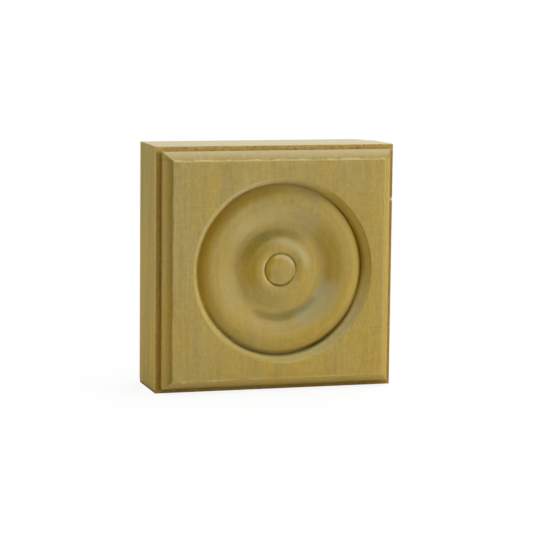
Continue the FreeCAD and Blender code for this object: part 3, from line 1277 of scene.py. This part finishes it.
@dataclass
class RosetteBlock:
    """The block: a squared body, a stepped and rounded edge, and a rosette turned into the face.

    The stops are extra points on the sections: on the wall and the side as shares of their run, on the face
    as eases before the arris, and on the back as distances from its edge.
    """

    width: float = 82.55 * MM
    thickness: float = 28.575 * MM
    ledge_width: float = 1.68 * MM
    ledge_depth: float = 5.44 * MM
    riser_height: float = 2.0 * MM
    shoulder_run: float = 2.95 * MM
    shoulder_swell: float = 0.4 * MM
    shoulder_lift: float = 1.4
    axis_right: float = 1.18 * MM
    axis_down: float = 0.48 * MM
    rim_radius: float = 31.25 * MM
    wall_run: float = 2.32 * MM
    wall_stops: tuple = (1 / 8, 1 / 2)
    quirk_depth: float = 4.7 * MM
    ring_run: float = 5.23 * MM
    crest_depth: float = 2.2 * MM
    valley_share: float = 0.633
    valley_depth: float = 6.35 * MM
    valley_round: float = 3.2 * MM
    boss_radius: float = 7.4 * MM
    boss_depth: float = 2.95 * MM
    boss_round: float = 3.9 * MM
    button_radius: float = 4.95 * MM
    button_depth: float = 3.2 * MM
    button_crown: float = 0.45 * MM
    line_width: float = 0.75 * MM
    line_depth: float = 0.45 * MM
    line_softness: float = 1 / 8
    ease: float = 0.22 * MM
    button_ease: float = 1.20 * MM
    button_past: float = 0.25
    face_stops: tuple = (6, 3)
    side_stops: tuple = (0.05, 0.15, 0.35, 0.6, 0.8, 0.9, 0.96)
    back_stops: tuple = (1.0 * MM, 2.5 * MM, 5.0 * MM)
    smooth_angle: float = 35
    facets: Facets = Facets()
    finish: BareWood = field(default_factory=BareWood)
    tears: tuple = TEARS
    knocks: tuple = KNOCKS
    piece: Optional[bpy.types.Object] = None

    @property
    def half(self) -> float:
        """Half the block's width."""
        return self.width / 2

    @property
    def foot(self) -> float:
        """How far out the riser stands on the ledge."""
        return self.half - self.ledge_width

    @property
    def arris(self) -> float:
        """How far out the front face ends and the shoulder begins."""
        return self.foot - self.shoulder_run

    @property
    def front(self) -> float:
        """Where the front face lies along Y."""
        return -self.thickness

    @property
    def ledge(self) -> float:
        """Where the ledge lies along Y."""
        return self.front + self.ledge_depth

    @property
    def riser(self) -> float:
        """Where the riser ends and the shoulder begins along Y."""
        return self.ledge - self.riser_height

    @property
    def wall_foot(self) -> float:
        """The radius where the dish's wall rises from the quirk."""
        return self.rim_radius - self.wall_run

    @property
    def axis(self) -> Vector:
        """The point where the rosette's axis meets the front face."""
        return Vector((self.axis_right, self.front, -self.axis_down))

    def rosette_section(self) -> Section:
        """Draw the turned section, from near the axis out to the rim.

        Returns:
            The section, as radii.
        """
        crest = self.wall_foot - self.ring_run
        fall = self.quirk_depth - self.crest_depth
        ring_round = (self.ring_run ** 2 + fall ** 2) / (2 * fall)
        ring = Spot(crest, self.crest_depth + ring_round)
        boss = Spot(self.boss_radius, self.boss_depth + self.boss_round)
        aim = Spot(self.valley_share * crest, self.valley_depth)
        boss_touch = touching(aim, boss, self.boss_round, inner=True)
        ring_touch = touching(aim, ring, ring_round, inner=False)
        inward = (boss_touch - aim) * (1 / (boss_touch - aim).length())
        outward = (ring_touch - aim) * (1 / (ring_touch - aim).length())
        half_angle = math.acos(inward.out * outward.out + inward.depth * outward.depth) / 2
        leg = self.valley_round / math.tan(half_angle)
        middle = inward + outward
        floor_centre = aim + middle * (self.valley_round / math.sin(half_angle) / middle.length())

        button_round = (self.button_radius ** 2 + self.button_crown ** 2) / (2 * self.button_crown)
        button = Spot(0, self.button_depth - self.button_crown + button_round)
        start = Spot(self.button_radius / self.facets.hub, button.depth - button_round)
        button_edge = Spot(self.button_radius, self.button_depth)
        line_bottom = Spot(self.button_radius + self.line_width / 2, self.button_depth + self.line_depth)
        line_out = self.button_radius + self.line_width
        lip = boss.depth - math.sqrt(self.boss_round ** 2 - (self.boss_radius - line_out) ** 2)
        line_edge = Spot(line_out, lip)
        line_ease = self.line_width * self.line_softness
        quirk = Spot(self.wall_foot, self.quirk_depth)
        rim = Spot(self.rim_radius, 0)
        wall_low, wall_middle = (quirk + (rim - quirk) * share for share in self.wall_stops)
        beyond = Spot(self.rim_radius + self.wall_run, 0)

        facets = self.facets
        section = Section(start)
        section.arc_to(button_edge - Spot(self.button_ease, 0), button, facets.button)
        section.eased_to(button_edge, line_bottom, self.button_ease, facets.button_edge, self.button_past)
        section.eased_to(line_bottom, line_edge, line_ease)
        section.eased_to(line_edge, Spot(self.boss_radius, self.boss_depth), line_ease)
        section.arc_to(boss_touch, boss, facets.boss)
        section.line_to(aim + inward * leg, facets.flank)
        section.arc_to(aim + outward * leg, floor_centre, facets.valley)
        section.line_to(ring_touch, facets.flank).arc_to(quirk, ring, facets.ring)
        section.line_to(wall_low).line_to(wall_middle, facets.wall)
        return section.eased_to(rim, beyond, self.ease, facets.edge)

    def edge_section(self) -> Section:
        """Draw the section from the front face over the moulding to the back.

        Returns:
            The section, as half widths.
        """
        arris = Spot(self.arris, 0)
        riser_top = Spot(self.foot, self.ledge_depth - self.riser_height)
        riser_foot = Spot(self.foot, self.ledge_depth)
        ledge_edge = Spot(self.half, self.ledge_depth)
        back_edge = Spot(self.half, self.thickness)
        chord = riser_top - arris
        swell_out = Spot(chord.depth, -chord.out) * (1 / chord.length())
        round_radius = (chord.length() ** 2 / 4 + self.shoulder_swell ** 2) / (2 * self.shoulder_swell)
        centre = arris + chord * 0.5 - swell_out * (round_radius - self.shoulder_swell)
        shoulder = arris + chord + swell_out * (self.shoulder_lift * self.shoulder_swell)

        facets = self.facets
        start, lead = (arris - Spot(eases * self.ease, 0) for eases in self.face_stops)
        section = Section(start).line_to(lead)
        section.eased_to(arris, shoulder, self.ease, facets.edge)
        section.arc_to(riser_top, centre, facets.shoulder)
        section.line_to(riser_foot - Spot(0, self.ease), facets.riser).line_to(riser_foot)
        section.line_to(riser_foot + (ledge_edge - riser_foot) * 0.5, facets.ledge)
        section.eased_to(ledge_edge, back_edge, self.ease)
        for share in self.side_stops:
            section.line_to(ledge_edge + (back_edge - ledge_edge) * share)
        section.eased_to(back_edge, Spot(0, self.thickness), self.ease)
        for inset in self.back_stops:
            section.line_to(back_edge - Spot(inset, 0))
        return section

    def build(self) -> bpy.types.Object:
        """Model the block from the button outwards.

        Returns:
            The piece.
        """
        turned = self.rosette_section()
        edge = self.edge_section()
        centre = Vector((self.axis.x, self.front + turned.spots[0].depth, self.axis.z))
        modeller = LoopModeller("block", self.facets.turn, centre, turned.spots[0].out)
        modeller.follow(turned, self.front)
        modeller.to_square(edge.spots[0].out, self.facets.side_cuts)
        modeller.follow(edge, self.front)
        self.piece = modeller.close()
        bpy.ops.object.select_all(action="DESELECT")
        self.piece.select_set(True)
        bpy.context.view_layer.objects.active = self.piece
        self.wear()
        bpy.ops.object.shade_smooth_by_angle(angle=math.radians(self.smooth_angle))
        return self.piece

    def wear(self) -> None:
        """Tear the fibres along the top and the bottom, and knock the corners that show it."""
        torn = [0.0] * len(self.piece.data.vertices)
        for patch in self.tears:
            torn = [max(old, new) for old, new in zip(torn, patch.tear(self.piece))]
        for knock in self.knocks:
            knock.dent(self.piece)
        values = self.piece.data.attributes.new(TORN, "FLOAT", "POINT")
        values.data.foreach_set("value", torn)

    def dress(self) -> None:
        """Give the block its wood, and let it stand for the solid."""
        self.piece.data.materials.clear()
        self.piece.data.materials.append(self.finish.material(self))
        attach(self.piece, BODY)
        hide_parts(NODE)


@dataclass(frozen=True)
class Softbox:
    """A round soft lamp that looks at the block. Its azimuth runs from the front, past the right."""

    name: str
    azimuth: float
    elevation: float
    watts: float
    width: float = 0.6
    distance: float = 0.9

    def build(self) -> None:
        """Hang the lamp."""
        turn, lift = math.radians(self.azimuth), math.radians(self.elevation)
        way = Vector((math.sin(turn) * math.cos(lift), -math.cos(turn) * math.cos(lift), math.sin(lift)))
        light = bpy.data.lights.new(self.name, "AREA")
        light.shape = "DISK"
        light.size = self.width
        light.energy = self.watts
        lamp = bpy.data.objects.new(self.name, light)
        lamp.location = way * self.distance
        lamp.rotation_euler = way.to_track_quat("Z", "Y").to_euler()
        bpy.context.scene.collection.objects.link(lamp)


def seen_directly(tree: bpy.types.NodeTree) -> Socket:
    """A mask of the rays that show the surround itself, to the eye, in a reflection or through glass.

    Args:
        tree: The node tree that needs the mask.

    Returns:
        The mask.
    """
    path = tree.nodes.new("ShaderNodeLightPath")
    mask = path.outputs["Is Camera Ray"]
    for kind in ("Is Glossy Ray", "Is Transmission Ray"):
        either = tree.nodes.new("ShaderNodeMath")
        either.operation = "MAXIMUM"
        tree.links.new(mask, either.inputs[0])
        tree.links.new(path.outputs[kind], either.inputs[1])
        mask = either.outputs[0]
    return mask


@dataclass
class Studio:
    """The white floor, the lamps, the white surround and the camera."""

    floor_height: float
    floor_width: float = 3.0
    floor_tone: float = 0.80
    floor_roughness: float = 0.9
    shadow_share: float = 0.12
    shadow_reach: tuple = (0.05, 0.14)
    camera_place: tuple = (-0.217684, -0.749794, 0.099920)
    camera_turn: tuple = (82.5251, -0.6082, -16.3750)
    lens: float = 153.609
    sensor: float = 36.0
    surround: float = 0.28
    lamps: tuple = (
        Softbox("overhead_front", 0, 80, 3.10),
        Softbox("overhead_right", 90, 80, 3.65),
        Softbox("high_front", 45, 55, 0.75),
        Softbox("front_fill", 30, 4, 1.04),
        Softbox("right_fill", 60, 4, 3.76),
        Softbox("right_rear", 143, 28, 3.20),
        Softbox("left_rear", 228, 4, 2.30),
    )

    def build_floor(self) -> None:
        """Lay the floor, white to the eye apart from a faint shadow around the block."""
        bpy.ops.object.select_all(action="DESELECT")
        bpy.ops.mesh.primitive_plane_add(size=self.floor_width, location=(0, 0, self.floor_height))
        floor = bpy.context.object
        floor.name = "floor"
        bpy.ops.object.transform_apply(location=True)
        sheet = Sheet("white_floor")
        sheet.feed(sheet.shader.inputs["Base Color"], (self.floor_tone, self.floor_tone, self.floor_tone, 1))
        sheet.feed(sheet.shader.inputs["Roughness"], self.floor_roughness)
        away = sheet.reach(sheet.here, (1, 1, 1))
        share = sheet.span(away, *self.shadow_reach, 1 - self.shadow_share, 1)
        white = sheet.add("Emission", 0, {})
        amount = sheet.math("MULTIPLY", share, seen_directly(sheet.tree))
        mixed = sheet.add("MixShader", 0, {0: amount, 1: sheet.shader.outputs[0], 2: white})
        sheet.feed(sheet.tree.nodes["Material Output"].inputs["Surface"], mixed)
        floor.data.materials.append(sheet.material)

    def build_surround(self) -> None:
        """Make the surround white to the eye and in reflections, and a low even light elsewhere."""
        world = bpy.data.worlds.new("surround")
        bpy.context.scene.world = world
        world.use_nodes = True
        tree = world.node_tree
        background = tree.nodes["Background"]
        background.inputs["Color"].default_value = (1, 1, 1, 1)
        strength = tree.nodes.new("ShaderNodeMapRange")
        strength.inputs["To Min"].default_value = self.surround
        tree.links.new(seen_directly(tree), strength.inputs["Value"])
        tree.links.new(strength.outputs["Result"], background.inputs["Strength"])

    def build_camera(self) -> None:
        """Stand the camera where the photograph was taken from."""
        data = bpy.data.cameras.new("camera")
        data.lens = self.lens
        data.sensor_width = self.sensor
        camera = bpy.data.objects.new("camera", data)
        camera.location = self.camera_place
        camera.rotation_euler = [math.radians(angle) for angle in self.camera_turn]
        bpy.context.scene.collection.objects.link(camera)
        bpy.context.scene.camera = camera

    def build(self) -> None:
        """Set up the whole studio."""
        self.build_floor()
        self.build_surround()
        for lamp in self.lamps:
            lamp.build()
        self.build_camera()
        bpy.context.scene.view_settings.view_transform = "Standard"


def main() -> None:
    """Build and dress the block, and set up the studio."""
    logging.basicConfig(level=logging.INFO, format="%(name)s: %(message)s")
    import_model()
    block = RosetteBlock()
    piece = block.build()
    block.dress()
    log.info("%s: %d faces", piece.name, len(piece.data.polygons))
    Studio(floor_height=-block.half).build()


if __name__ == "__main__":
    main()
